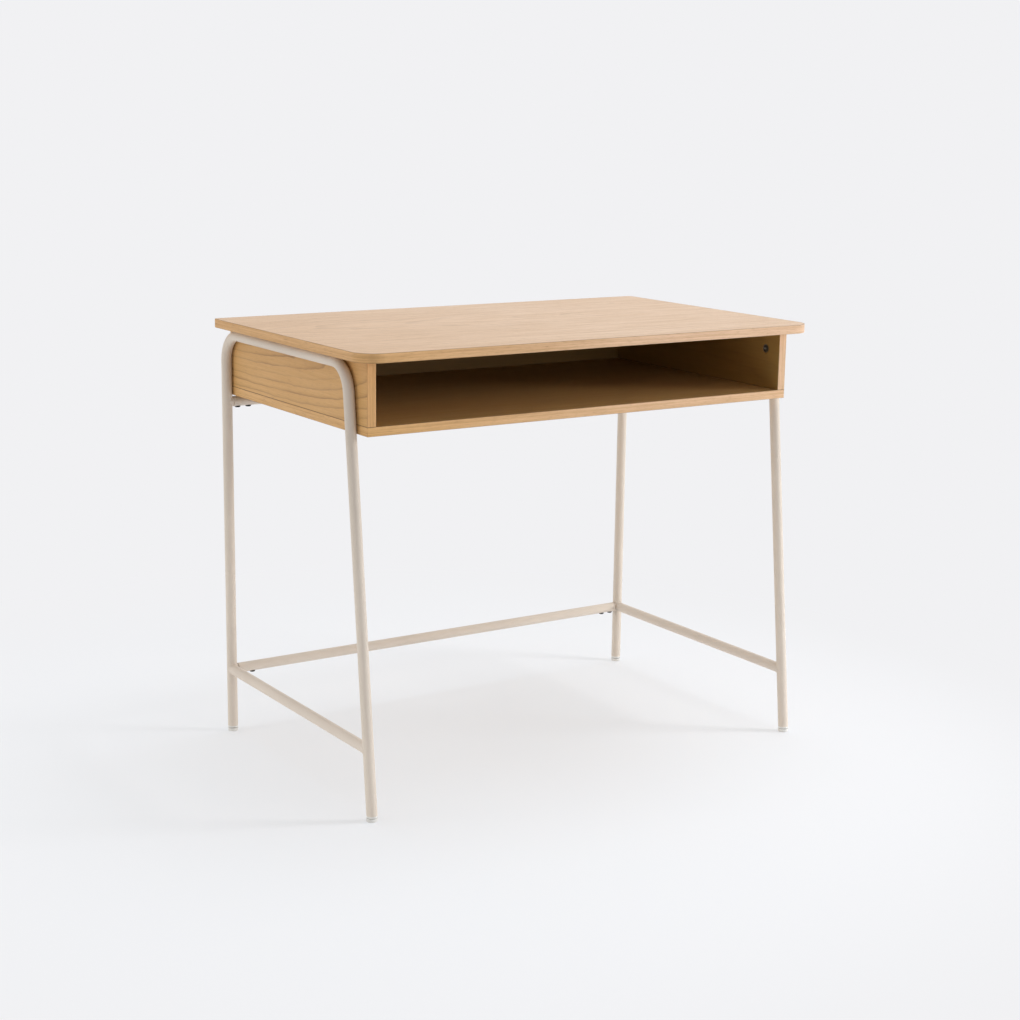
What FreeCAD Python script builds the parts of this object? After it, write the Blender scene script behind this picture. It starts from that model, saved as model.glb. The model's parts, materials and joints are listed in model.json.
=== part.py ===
import FreeCAD, Part
import Sketcher
import os

doc = FreeCAD.newDocument("kids_desk")

# Driving dimensions in millimetres (angles in degrees), one spreadsheet row each
DIMENSIONS = {
    # desk top
    "top_width": 900,
    "top_depth": 540,
    "desk_height": 750,
    "top_thickness": 15,
    "front_corner": 38,
    "rear_corner": 8,
    "edge_band": 1,
    "edge_easing": 0.6,
    # cubby box under the top
    "side_overhang": 28,
    "front_setback": 38,
    "rear_setback": 8,
    "opening_height": 104,
    "panel_thickness": 15,
    "bottom_thickness": 15,
    "back_thickness": 15,
    # tube frame
    "tube_diameter": 18,
    "tube_wall": 1.5,
    "bend_radius": 48,
    "hoop_clearance": 0.1,
    "hoop_drop": 2,
    "foot_inset": 10,
    "front_lean": 6.1,
    "stretcher_height": 116,
    "weld_gap": 0.1,
    "bar_drop": 12,
    "bar_end_gap": 1.4,
    # shouldered spigots inside the crossbar ends and their screws
    "spigot_length": 60,
    "spigot_shoulder": 0.6,
    "spigot_wall": 3,
    "spigot_clearance": 0.1,
    "bar_screw_first": 19.5,
    "bar_screw_pitch": 20.5,
    "bar_screw_diameter": 5,
    "bar_screw_length": 9,
    "bar_screw_head": 10,
    "bar_screw_head_height": 2,
    "bar_screw_socket": 3,
    # bolts that hold the hoops to the side panels
    "bolt_from_bend": 30,
    "bolt_diameter": 6,
    "bolt_length": 25,
    "bolt_head": 10.5,
    "bolt_head_height": 3.3,
    "bolt_socket": 4,
    "washer_diameter": 12,
    "washer_thickness": 1.5,
    "bush_diameter": 10,
    "bush_length": 10,
    # cam fittings and dowels between the side panels and the top
    "cam_diameter": 15,
    "cam_depth": 12.5,
    "cam_edge": 34,
    "cam_setback": 37,
    "cam_slot_length": 9,
    "cam_slot_width": 2,
    "cam_slot_depth": 3,
    "cam_bolt_shank": 6,
    "cam_bolt_thread": 5,
    "cam_bolt_neck": 4,
    "cam_bolt_head_height": 3,
    "cam_bolt_neck_height": 4,
    "cam_thread_depth": 10,
    "dowel_diameter": 8,
    "dowel_length": 30,
    "dowel_in_face": 10,
    "dowel_spacing": 32,
    "back_dowel_edge": 28,
    # screws that come up through the bottom panel
    "box_screw_inset": 60,
    "box_screw_length": 50,
    "box_screw_head": 10,
    "box_screw_head_height": 4,
    "box_screw_shank": 7,
    "box_screw_thread": 5,
    "box_screw_socket": 4,
    # levelling feet
    "foot_height": 10,
    "foot_diameter": 18,
    "foot_easing": 1,
    "collar_thickness": 3.2,
    "foot_gap": 1,
    "stem_diameter": 6,
    "stem_length": 20,
    "insert_length": 22,
    # clearances, each on a radius or at the end of a hole
    "thread_clearance": 0.05,
    "press_clearance": 0.05,
    "hole_clearance": 0.5,
    "end_clearance": 1,
    # button heads: socket depth, and the crown and the straight rim as shares of the head
    "socket_depth": 2,
    "crown_share": 0.78,
    "rim_share": 0.6,
}

dims = doc.addObject("Spreadsheet::Sheet", "dims")
for row, (alias, number) in enumerate(DIMENSIONS.items(), start=1):
    dims.set(f"A{row}", alias)
    dims.set(f"B{row}", str(number))
    dims.setAlias(f"B{row}", alias)
doc.recompute()

# Places that several pieces share, as expressions over the sheet
top_under = "(dims.desk_height - dims.top_thickness)"
box_half = "(dims.top_width / 2 - dims.side_overhang)"
box_inner = f"({box_half} - dims.panel_thickness)"
panel_middle = f"({box_half} - dims.panel_thickness / 2)"
box_front = "(dims.front_setback - dims.top_depth / 2)"
box_rear = "(dims.top_depth / 2 - dims.rear_setback)"
back_middle = f"({box_rear} - dims.back_thickness / 2)"
box_floor = f"({top_under} - dims.opening_height)"
box_bottom = f"({box_floor} - dims.bottom_thickness)"
tube_radius = "(dims.tube_diameter / 2)"
bore_radius = f"({tube_radius} - dims.tube_wall)"
hoop_x = f"({box_half} + dims.hoop_clearance + {tube_radius})"
hoop_top = f"({top_under} - dims.hoop_drop - {tube_radius})"
foot_y = "(dims.top_depth / 2 - dims.foot_inset)"
lean_slope = "tan(dims.front_lean)"
front_bend_end = (
    f"({hoop_top} - dims.foot_height) * {lean_slope} - {foot_y}"
    " + dims.bend_radius * tan(45 - dims.front_lean / 2)"
)
bolt_places = (
    f"({front_bend_end} + dims.bolt_from_bend)",
    f"({foot_y} - dims.bend_radius - dims.bolt_from_bend)",
)
upper_bar = f"({box_bottom} - dims.bar_drop)"
cam_height = f"({top_under} - dims.cam_edge)"
cam_places = (f"({box_front} + dims.cam_setback)", f"({box_rear} - dims.cam_setback)")
top_dowel_places = (
    f"({cam_places[0]} + dims.dowel_spacing)",
    f"({cam_places[1]} - dims.dowel_spacing)",
)
back_dowel_heights = (
    f"({box_floor} + dims.back_dowel_edge)",
    f"({top_under} - dims.back_dowel_edge)",
)
side_screw_places = (
    f"({box_front} + dims.box_screw_inset)",
    f"(({box_front} + {box_rear}) / 2)",
    f"({box_rear} - dims.box_screw_inset)",
)
back_screw_places = (
    f"(dims.box_screw_inset - {box_inner})",
    "0",
    f"({box_inner} - dims.box_screw_inset)",
)
SIDES = (("left", -1), ("right", 1))
ENDS = (("front", -1), ("rear", 1))
bar_levels = (("upper", upper_bar), ("lower", "dims.stretcher_height"))
shoulder_reach = f"({tube_radius} + dims.spigot_shoulder)"
bar_screw_distances = ("dims.bar_screw_first", "(dims.bar_screw_first + dims.bar_screw_pitch)")
box_screw_places = [(f"{side} * {panel_middle}", along) for _, side in SIDES for along in side_screw_places]
box_screw_places += [(across, back_middle) for across in back_screw_places]


def value(expression):
    return float(dims.evalExpression(expression))


# Sketch helpers
def sketch_on(body, name, role, offset="0"):
    sketch = body.newObject("Sketcher::SketchObject", name)
    plane = next(item for item in body.Origin.OriginFeatures if item.Role == role)
    sketch.AttachmentSupport = (plane, [""])
    sketch.MapMode = "FlatFace"
    sketch.setExpression("AttachmentOffset.Base.z", offset)
    return sketch


def fix_point(sketch, item, point, across, up):
    # A coordinate of "0" puts the point on the sketch axis, any other follows its expression
    for expression, kind, axis in ((across, "DistanceX", -2), (up, "DistanceY", -1)):
        if expression == "0":
            sketch.addConstraint(Sketcher.Constraint("PointOnObject", item, point, axis))
        else:
            rule = Sketcher.Constraint(kind, -1, 1, item, point, value(expression))
            index = sketch.addConstraint(rule)
            sketch.setExpression(f"Constraints[{index}]", expression)


def add_outline(sketch, corners):
    places = [FreeCAD.Vector(value(across), value(up), 0) for across, up in corners]
    count = len(corners)
    lines = []
    for index in range(count):
        line = Part.LineSegment(places[index], places[(index + 1) % count])
        lines.append(sketch.addGeometry(line))
    for index in range(count):
        follower = lines[(index + 1) % count]
        sketch.addConstraint(Sketcher.Constraint("Coincident", lines[index], 2, follower, 1))
    for line, (across, up) in zip(lines, corners):
        fix_point(sketch, line, 1, across, up)


def add_rectangle(sketch, left, right, low, high):
    add_outline(sketch, [(left, low), (right, low), (right, high), (left, high)])


def add_circle(sketch, across, up, diameter):
    centre = FreeCAD.Vector(value(across), value(up), 0)
    circle = Part.Circle(centre, FreeCAD.Vector(0, 0, 1), value(diameter) / 2)
    item = sketch.addGeometry(circle)
    fix_point(sketch, item, 3, across, up)
    index = sketch.addConstraint(Sketcher.Constraint("Diameter", item, value(diameter)))
    sketch.setExpression(f"Constraints[{index}]", diameter)


def add_hexagon(sketch, across_flats):
    # The first corner stands at 15 degrees, so that no corner lies on a sketch axis
    reach = f"({across_flats} / 2 / cos(30))"
    turns = [15 + 60 * step for step in range(6)]
    add_outline(sketch, [(f"{reach} * cos({turn})", f"{reach} * sin({turn})") for turn in turns])


# Feature helpers
def new_body(name):
    return doc.addObject("PartDesign::Body", name)


def pad(body, sketch, length, name):
    feature = body.newObject("PartDesign::Pad", name)
    feature.Profile = sketch
    feature.setExpression("Length", length)
    return feature


def pocket(body, sketch, depth, name, forward=False):
    # A pocket cuts against its sketch's normal, or along it where forward is set
    feature = body.newObject("PartDesign::Pocket", name)
    feature.Profile = sketch
    feature.Reversed = forward
    feature.setExpression("Length", depth)
    return feature


def revolve(body, corners, name):
    sketch = sketch_on(body, f"{name}_profile", "XZ_Plane")
    add_outline(sketch, corners)
    feature = body.newObject("PartDesign::Revolution", name)
    feature.Profile = sketch
    feature.ReferenceAxis = (sketch, ["V_Axis"])
    feature.Angle = 360
    return feature


def hex_socket(body, name, across_flats, head_top):
    sketch = sketch_on(body, f"{name}_outline", "XY_Plane", head_top)
    add_hexagon(sketch, across_flats)
    return pocket(body, sketch, "dims.socket_depth", name)


def round_edges(body, base, radius, name, wanted):
    doc.recompute()
    picked = [f"Edge{index}" for index, edge in enumerate(base.Shape.Edges, start=1) if wanted(edge)]
    feature = body.newObject("PartDesign::Fillet", name)
    feature.Base = (base, picked)
    feature.setExpression("Radius", radius)
    return feature


def place(item, across="0", along="0", up="0", axis=None, turn=0):
    if axis:
        item.Placement.Rotation = FreeCAD.Rotation(FreeCAD.Vector(*axis), turn)
    item.setExpression("Placement.Base.x", across)
    item.setExpression("Placement.Base.y", along)
    item.setExpression("Placement.Base.z", up)
    return item


def block(name, left, right, front, rear, low, high):
    box = doc.addObject("Part::Box", name)
    box.setExpression("Length", f"{right} - {left}")
    box.setExpression("Width", f"{rear} - {front}")
    box.setExpression("Height", f"{high} - {low}")
    return place(box, left, front, low)


def rod(name, radius, length):
    cylinder = doc.addObject("Part::Cylinder", name)
    cylinder.setExpression("Radius", radius)
    cylinder.setExpression("Height", length)
    return cylinder


def subtract(name, base, tools):
    result = base
    for count, tool in enumerate(tools, start=1):
        cut = doc.addObject("Part::Cut", name if count == len(tools) else f"{name}_step{count}")
        cut.Base = result
        cut.Tool = tool
        result = cut
    return result


def group(name, members):
    compound = doc.addObject("Part::Compound", name)
    compound.Links = members
    return compound


# Desk top: a core board with an edge band round it
def is_upright(edge):
    return edge.BoundBox.ZLength > edge.Length / 2


def rounded_board(body, inset, name):
    half_width = f"(dims.top_width / 2 - {inset})"
    half_depth = f"(dims.top_depth / 2 - {inset})"
    sketch = sketch_on(body, f"{name}_outline", "XY_Plane", top_under)
    add_rectangle(sketch, f"-{half_width}", half_width, f"-{half_depth}", half_depth)
    board = pad(body, sketch, "dims.top_thickness", name)
    for end, sign in ENDS:
        board = round_edges(
            body, board, f"dims.{end}_corner - {inset}", f"{name}_{end}_corners",
            lambda edge: is_upright(edge) and edge.CenterOfMass.y * sign > 0,
        )
    return board


def make_top():
    body = new_body("desk_top")
    rounded_board(body, "dims.edge_band", "core")
    threads = sketch_on(body, "cam_bolt_holes", "XY_Plane", top_under)
    dowels = sketch_on(body, "dowel_holes", "XY_Plane", top_under)
    for _, side in SIDES:
        for along in cam_places:
            add_circle(threads, f"{side} * {panel_middle}", along,
                       "dims.cam_bolt_thread + 2 * dims.thread_clearance")
        for along in top_dowel_places:
            add_circle(dowels, f"{side} * {panel_middle}", along,
                       "dims.dowel_diameter + 2 * dims.press_clearance")
    pocket(body, threads, "dims.cam_thread_depth + dims.end_clearance", "cam_bolt_bores", True)
    pocket(body, dowels, "dims.dowel_in_face + dims.end_clearance / 2", "dowel_bores", True)
    return body


def make_top_band():
    outer = new_body("band_blank")
    board = rounded_board(outer, "0", "band")
    round_edges(outer, board, "dims.edge_easing", "eased_edges", lambda edge: not is_upright(edge))
    core = new_body("band_core")
    rounded_board(core, "dims.edge_band", "core")
    return subtract("top_edge_band", outer, [core])


# Cubby box: two side panels that stand on the bottom panel, and a back between them
def make_side_panel(end, side):
    body = new_body(f"side_panel_{end}")
    inner = f"{side} * {box_inner}"
    low = box_inner if side > 0 else f"-{box_half}"
    outline = sketch_on(body, "outline", "YZ_Plane", low)
    add_rectangle(outline, f"({box_front} + dims.edge_band)", box_rear, box_floor, top_under)
    pad(body, outline, "dims.panel_thickness", "board")

    outward = side > 0
    bolts = sketch_on(body, "hoop_bolt_holes", "YZ_Plane", inner)
    for along in bolt_places:
        add_circle(bolts, along, hoop_top, "dims.bolt_diameter + 2 * dims.hole_clearance")
    pocket(body, bolts, "dims.panel_thickness", "hoop_bolt_bores", outward)

    cams = sketch_on(body, "cam_holes", "YZ_Plane", inner)
    for along in cam_places:
        add_circle(cams, along, cam_height, "dims.cam_diameter + 2 * dims.press_clearance")
    pocket(body, cams, "dims.cam_depth + dims.press_clearance", "cam_bores", outward)

    backs = sketch_on(body, "back_dowel_holes", "YZ_Plane", inner)
    for up in back_dowel_heights:
        add_circle(backs, back_middle, up, "dims.dowel_diameter + 2 * dims.press_clearance")
    pocket(body, backs, "dims.dowel_in_face + dims.end_clearance / 2", "back_dowel_bores", outward)

    shanks = sketch_on(body, "cam_bolt_holes", "XY_Plane", top_under)
    for along in cam_places:
        add_circle(shanks, f"{side} * {panel_middle}", along,
                   "dims.cam_bolt_shank + 2 * dims.hole_clearance")
    pocket(body, shanks, "dims.cam_edge", "cam_bolt_bores")

    dowels = sketch_on(body, "top_dowel_holes", "XY_Plane", top_under)
    for along in top_dowel_places:
        add_circle(dowels, f"{side} * {panel_middle}", along,
                   "dims.dowel_diameter + 2 * dims.press_clearance")
    pocket(body, dowels, "dims.dowel_length - dims.dowel_in_face + dims.end_clearance / 2",
           "top_dowel_bores")

    screws = sketch_on(body, "bottom_screw_holes", "XY_Plane", box_floor)
    for along in side_screw_places:
        add_circle(screws, f"{side} * {panel_middle}", along,
                   "dims.box_screw_thread + 2 * dims.thread_clearance")
    pocket(body, screws, "dims.box_screw_length - dims.bottom_thickness + dims.end_clearance",
           "bottom_screw_bores", True)
    return body


def make_side_band(end, side):
    left = box_inner if side > 0 else f"-{box_half}"
    right = box_half if side > 0 else f"-{box_inner}"
    return block(f"side_band_{end}", left, right, box_front, f"({box_front} + dims.edge_band)",
                 box_floor, top_under)


def make_bottom():
    body = new_body("bottom_panel")
    half = f"({box_half} - dims.edge_band)"
    outline = sketch_on(body, "outline", "XY_Plane", box_bottom)
    add_rectangle(outline, f"-{half}", half, f"({box_front} + dims.edge_band)", box_rear)
    pad(body, outline, "dims.bottom_thickness", "board")
    shanks = sketch_on(body, "screw_holes", "XY_Plane", box_bottom)
    heads = sketch_on(body, "screw_head_recesses", "XY_Plane", box_bottom)
    for across, along in box_screw_places:
        add_circle(shanks, across, along, "dims.box_screw_shank + 2 * dims.press_clearance")
        add_circle(heads, across, along, "dims.box_screw_head + 2 * dims.press_clearance")
    pocket(body, shanks, "dims.bottom_thickness", "screw_bores", True)
    pocket(body, heads, "dims.box_screw_head_height", "screw_head_bores", True)
    return body


def make_bottom_band():
    inner = f"({box_half} - dims.edge_band)"
    behind = f"({box_front} + dims.edge_band)"
    strips = [block("bottom_band_front", f"-{box_half}", box_half, box_front, behind,
                    box_bottom, box_floor)]
    strips.append(block("bottom_band_left", f"-{box_half}", f"-{inner}", behind, box_rear,
                        box_bottom, box_floor))
    strips.append(block("bottom_band_right", inner, box_half, behind, box_rear,
                        box_bottom, box_floor))
    return group("bottom_edge_band", strips)


def make_back():
    body = new_body("back_panel")
    outline = sketch_on(body, "outline", "XY_Plane", box_floor)
    add_rectangle(outline, f"-{box_inner}", box_inner, f"({box_rear} - dims.back_thickness)", box_rear)
    pad(body, outline, "dims.opening_height", "board")
    screws = sketch_on(body, "bottom_screw_holes", "XY_Plane", box_floor)
    for across in back_screw_places:
        add_circle(screws, across, back_middle, "dims.box_screw_thread + 2 * dims.thread_clearance")
    pocket(body, screws, "dims.box_screw_length - dims.bottom_thickness + dims.end_clearance",
           "bottom_screw_bores", True)
    for end, side in SIDES:
        dowels = sketch_on(body, f"dowel_holes_{end}", "YZ_Plane", f"{side} * {box_inner}")
        for up in back_dowel_heights:
            add_circle(dowels, back_middle, up, "dims.dowel_diameter + 2 * dims.press_clearance")
        pocket(body, dowels, "dims.dowel_length - dims.dowel_in_face + dims.end_clearance / 2",
               f"dowel_bores_{end}", side < 0)
    return body


# Tube frame: each hoop is one bent tube, front leg leaning and rear leg upright
def make_hoop(end, side):
    body = new_body(f"leg_hoop_{end}")
    # The tube is bent past its ends, which are then cut level with the floor
    below = "(dims.foot_height / 2)"
    toe = f"-({foot_y} + {below} * {lean_slope})"
    heel_bend = f"({hoop_top} - dims.bend_radius)"
    rear_run = f"({foot_y} - dims.bend_radius)"
    arch_y = f"({front_bend_end})"
    arc_y = f"({arch_y} - dims.bend_radius * cos(dims.front_lean))"
    arc_z = f"({heel_bend} + dims.bend_radius * sin(dims.front_lean))"

    path = sketch_on(body, "centre_line", "YZ_Plane")

    def at(along, up):
        return FreeCAD.Vector(value(along), value(up), 0)

    def bend(along, start, finish):
        centre = at(along, heel_bend)
        circle = Part.Circle(centre, FreeCAD.Vector(0, 0, 1), value("dims.bend_radius"))
        return Part.ArcOfCircle(circle, start, finish)

    quarter = value("pi / 2")
    lean = value("dims.front_lean * pi / 180")
    rear_leg = path.addGeometry(Part.LineSegment(at(foot_y, below), at(foot_y, heel_bend)))
    rear_bend = path.addGeometry(bend(rear_run, 0, quarter))
    top_run = path.addGeometry(Part.LineSegment(at(rear_run, hoop_top), at(arch_y, hoop_top)))
    front_bend = path.addGeometry(bend(arch_y, quarter, 2 * quarter - lean))
    front_leg = path.addGeometry(Part.LineSegment(at(arc_y, arc_z), at(toe, below)))
    joins = ((rear_leg, 2, rear_bend, 1), (rear_bend, 2, top_run, 1),
             (top_run, 2, front_bend, 1), (front_bend, 2, front_leg, 1))
    for join in joins:
        path.addConstraint(Sketcher.Constraint("Coincident", *join))
    fix_point(path, rear_leg, 1, foot_y, below)
    fix_point(path, rear_leg, 2, foot_y, heel_bend)
    fix_point(path, top_run, 1, rear_run, hoop_top)
    fix_point(path, top_run, 2, arch_y, hoop_top)
    fix_point(path, front_leg, 1, arc_y, arc_z)
    fix_point(path, front_leg, 2, toe, below)
    for arc in (rear_bend, front_bend):
        index = path.addConstraint(Sketcher.Constraint("Radius", arc, value("dims.bend_radius")))
        path.setExpression(f"Constraints[{index}]", "dims.bend_radius")

    section = sketch_on(body, "tube_section", "XY_Plane", below)
    add_circle(section, "0", foot_y, "dims.tube_diameter")
    add_circle(section, "0", foot_y, "dims.tube_diameter - 2 * dims.tube_wall")
    pipe = body.newObject("PartDesign::AdditivePipe", "bent_tube")
    pipe.Profile = section
    pipe.Spine = path

    trim = sketch_on(body, "level_cut", "XY_Plane", "dims.foot_height")
    reach = "dims.top_depth"
    add_rectangle(trim, f"-{reach}", reach, f"-{reach}", reach)
    pocket(body, trim, "dims.foot_height", "level_ends")

    bushes = sketch_on(body, "bush_holes", "YZ_Plane")
    for along in bolt_places:
        add_circle(bushes, along, hoop_top, "dims.bush_diameter + 2 * dims.press_clearance")
    pocket(body, bushes, "dims.tube_diameter", "bush_bores", side < 0)
    place(body, f"{side} * {hoop_x}")
    return body


def make_tube(name, length):
    outer = rod(f"{name}_outer", tube_radius, length)
    inner = rod(f"{name}_bore", bore_radius, length)
    return outer, inner


def leg_rod(name, end, across, radius, length, lead="0"):
    # A rod on the axis of a leg, which starts the lead below the level end of the tube
    item = rod(name, radius, length)
    if end == "rear":
        return place(item, across, foot_y, f"dims.foot_height - {lead}")
    item.Placement.Rotation = FreeCAD.Rotation(FreeCAD.Vector(-1, 0, 0), value("dims.front_lean"))
    item.setExpression("Placement.Rotation.Angle", "dims.front_lean")
    return place(item, across, f"-{foot_y} - {lead} * sin(dims.front_lean)",
                 f"dims.foot_height - {lead} * cos(dims.front_lean)")


def make_stretcher(end, side):
    name = f"side_stretcher_{end}"
    across = f"{side} * {hoop_x}"
    front = f"((dims.stretcher_height - dims.foot_height) * {lean_slope} - {foot_y})"
    tube = make_tube(name, f"{foot_y} - {front}")
    for item in tube:
        place(item, across, front, "dims.stretcher_height", (-1, 0, 0), 90)
    # Each end is coped to the outline of its leg, widened by the weld gap
    cope = f"{tube_radius} + dims.weld_gap"
    legs = [leg_rod(f"{name}_{leg}_cope", leg, across, cope, "dims.desk_height") for leg, _ in ENDS]
    return subtract(name, tube[0], [tube[1]] + legs)


def make_crossbar(name, up):
    half = f"({hoop_x} - {shoulder_reach} - dims.bar_end_gap)"
    tube = make_tube(name, f"2 * {half}")
    for item in tube:
        place(item, f"-{half}", foot_y, up, (0, 1, 0), 90)
    tools = [tube[1]]
    for end, side in SIDES:
        for step, distance in enumerate(bar_screw_distances, start=1):
            drill = rod(f"{name}_{end}_drill{step}",
                        "dims.bar_screw_diameter / 2 + dims.thread_clearance", tube_radius)
            tools.append(place(drill, f"{side} * ({hoop_x} - {distance})", foot_y, f"{up} - {tube_radius}"))
    return subtract(name, tube[0], tools)


def make_spigot(name, side, up):
    # The shoulder is as thick as the bar, fills the saddle beside the leg and stops short of the bar's end
    radius = f"({bore_radius} - dims.spigot_clearance)"
    length = f"({tube_radius} + dims.spigot_length)"
    shoulder = rod(f"{name}_shoulder", tube_radius, shoulder_reach)
    stub = rod(f"{name}_stub", radius, length)
    bore = rod(f"{name}_bore", f"{radius} - dims.spigot_wall", length)
    for item in (shoulder, stub, bore):
        place(item, f"{side} * {hoop_x}", foot_y, up, (0, 1, 0), 90 * -side)
    blank = doc.addObject("Part::Fuse", f"{name}_blank")
    blank.Base = shoulder
    blank.Tool = stub
    # It is coped to the leg, and to the stretcher that meets the leg at the height of the lower bar
    cope = f"{tube_radius} + dims.weld_gap"
    leg_cope = leg_rod(f"{name}_leg_cope", "rear", f"{side} * {hoop_x}", cope, "dims.desk_height")
    tools = [bore, leg_cope]
    if up == "dims.stretcher_height":
        beside = rod(f"{name}_stretcher_cope", cope, foot_y)
        tools.append(place(beside, f"{side} * {hoop_x}", foot_y, up, (1, 0, 0), 90))
    for step, distance in enumerate(bar_screw_distances, start=1):
        drill = rod(f"{name}_drill{step}", "dims.bar_screw_diameter / 2 + dims.thread_clearance",
                    tube_radius)
        tools.append(place(drill, f"{side} * ({hoop_x} - {distance})", foot_y, f"{up} - {tube_radius}"))
    return subtract(name, blank, tools)


# Levelling feet: an insert in each tube end and a threaded foot below it
def make_insert(name, end, across, along):
    collar = rod(f"{name}_collar", "dims.foot_diameter / 2", "dims.collar_thickness")
    place(collar, across, along, "dims.foot_height - dims.collar_thickness")
    # The sleeve's blank runs past both ends of the sleeve, so that its level cuts are complete on a leaning leg
    blank_length = "3 * dims.insert_length"
    sleeve = leg_rod(f"{name}_sleeve", end, across, f"{bore_radius} - dims.press_clearance",
                     blank_length, "dims.insert_length")
    reach = "dims.foot_diameter"
    span = block(f"{name}_span", f"({across} - {reach})", f"({across} + {reach})",
                 f"({along} - {reach})", f"({along} + {reach})",
                 "dims.foot_height", "(dims.foot_height + dims.insert_length)")
    level = doc.addObject("Part::Common", f"{name}_level_sleeve")
    level.Base = sleeve
    level.Tool = span
    joined = doc.addObject("Part::Fuse", f"{name}_blank")
    joined.Base = collar
    joined.Tool = level
    bore = rod(f"{name}_thread", "dims.stem_diameter / 2 + dims.thread_clearance", "dims.desk_height / 2")
    return subtract(name, joined, [place(bore, across, along)])


def make_foot(name, across, along):
    body = new_body(name)
    rim = "(dims.foot_diameter / 2)"
    disc_top = "(dims.foot_height - dims.collar_thickness - dims.foot_gap)"
    tip = f"({disc_top} + dims.stem_length)"
    stem = "(dims.stem_diameter / 2)"
    disc = revolve(body, [("0", "0"), (rim, "0"), (rim, disc_top), (stem, disc_top),
                          (stem, tip), ("0", tip)], "disc_and_stem")
    half_disc = value(disc_top) / 2
    round_edges(body, disc, "dims.foot_easing", "floor_edge",
                lambda edge: isinstance(edge.Curve, Part.Circle) and edge.BoundBox.ZMax < half_disc)
    return place(body, across, along)


# Fasteners: each is turned about its own axis and stands on its seat at the origin
def button_screw(name, size, diameter, length, head, head_height):
    body = new_body(name)
    shank = f"({diameter} / 2)"
    rim = f"({head} / 2)"
    crown = f"({rim} * dims.crown_share)"
    rim_top = f"({head_height} * dims.rim_share)"
    revolve(body, [("0", f"-{length}"), (shank, f"-{length}"), (shank, "0"), (rim, "0"),
                   (rim, rim_top), (crown, head_height), ("0", head_height)], "turned_form")
    hex_socket(body, "socket", size, head_height)
    return body


def make_bar_screws():
    screws = []
    for level, up in bar_levels:
        for end, side in SIDES:
            for step, distance in enumerate(bar_screw_distances, start=1):
                screw = button_screw(f"bar_screw_{level}_{end}{step}", "dims.bar_screw_socket",
                                     "dims.bar_screw_diameter", "dims.bar_screw_length",
                                     "dims.bar_screw_head", "dims.bar_screw_head_height")
                screws.append(place(screw, f"{side} * ({hoop_x} - {distance})", foot_y,
                                    f"{up} - {tube_radius}", (1, 0, 0), 180))
    return group("crossbar_screws", screws)


def make_hoop_fasteners():
    bolts = []
    washers = []
    bushes = []
    for end, side in SIDES:
        for step, along in enumerate(bolt_places, start=1):
            bolt = button_screw(f"hoop_bolt_{end}{step}", "dims.bolt_socket", "dims.bolt_diameter",
                                "dims.bolt_length", "dims.bolt_head", "dims.bolt_head_height")
            bolts.append(place(bolt, f"{side} * ({box_inner} - dims.washer_thickness)", along, hoop_top,
                               (0, 1, 0), -90 * side))
            disc = rod(f"washer_disc_{end}{step}", "dims.washer_diameter / 2", "dims.washer_thickness")
            hole = rod(f"washer_hole_{end}{step}", "dims.bolt_diameter / 2 + dims.hole_clearance / 2",
                       "dims.washer_thickness")
            for item in (disc, hole):
                place(item, f"{side} * {box_inner}", along, hoop_top, (0, 1, 0), -90 * side)
            washers.append(subtract(f"washer_{end}{step}", disc, [hole]))
            shell = rod(f"bush_shell_{end}{step}", "dims.bush_diameter / 2", "dims.bush_length")
            thread = rod(f"bush_thread_{end}{step}", "dims.bolt_diameter / 2 + dims.thread_clearance",
                         "dims.bush_length")
            for item in (shell, thread):
                place(item, f"{side} * ({box_half} + dims.hoop_clearance)", along, hoop_top,
                      (0, 1, 0), 90 * side)
            bushes.append(subtract(f"bush_{end}{step}", shell, [thread]))
    return [group("hoop_bolts", bolts), group("hoop_bolt_washers", washers),
            group("hoop_threaded_bushes", bushes)]


def make_cam_fittings():
    cams = []
    bolts = []
    for end, side in SIDES:
        for step, along in enumerate(cam_places, start=1):
            cams.append(make_cam(f"cam_{end}{step}", side, along))
            bolts.append(make_cam_bolt(f"cam_bolt_{end}{step}", side, along))
    return [group("cam_locks", cams), group("cam_bolts", bolts)]


def make_cam(name, side, along):
    body = new_body(name)
    blank = sketch_on(body, "blank_outline", "XY_Plane")
    add_circle(blank, "0", "0", "dims.cam_diameter")
    pad(body, blank, "dims.cam_depth", "blank")
    for step, (long_x, long_y) in enumerate(((1, 0), (0, 1)), start=1):
        half_x = "dims.cam_slot_length / 2" if long_x else "dims.cam_slot_width / 2"
        half_y = "dims.cam_slot_length / 2" if long_y else "dims.cam_slot_width / 2"
        slot = sketch_on(body, f"cross_slot{step}", "XY_Plane")
        add_rectangle(slot, f"-{half_x}", half_x, f"-{half_y}", half_y)
        pocket(body, slot, "dims.cam_slot_depth", f"cross_cut{step}", True)
    # The mouth lets the head of the connecting bolt in from the upper side
    mouth = sketch_on(body, "mouth_outline", "XZ_Plane")
    add_circle(mouth, "0", "dims.panel_thickness / 2", "dims.cam_bolt_shank + 2 * dims.hole_clearance")
    pocket(body, mouth, "dims.cam_diameter / 2", "mouth")
    return place(body, f"{side} * {box_inner}", along, cam_height, (1, side, side), 120)


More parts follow.
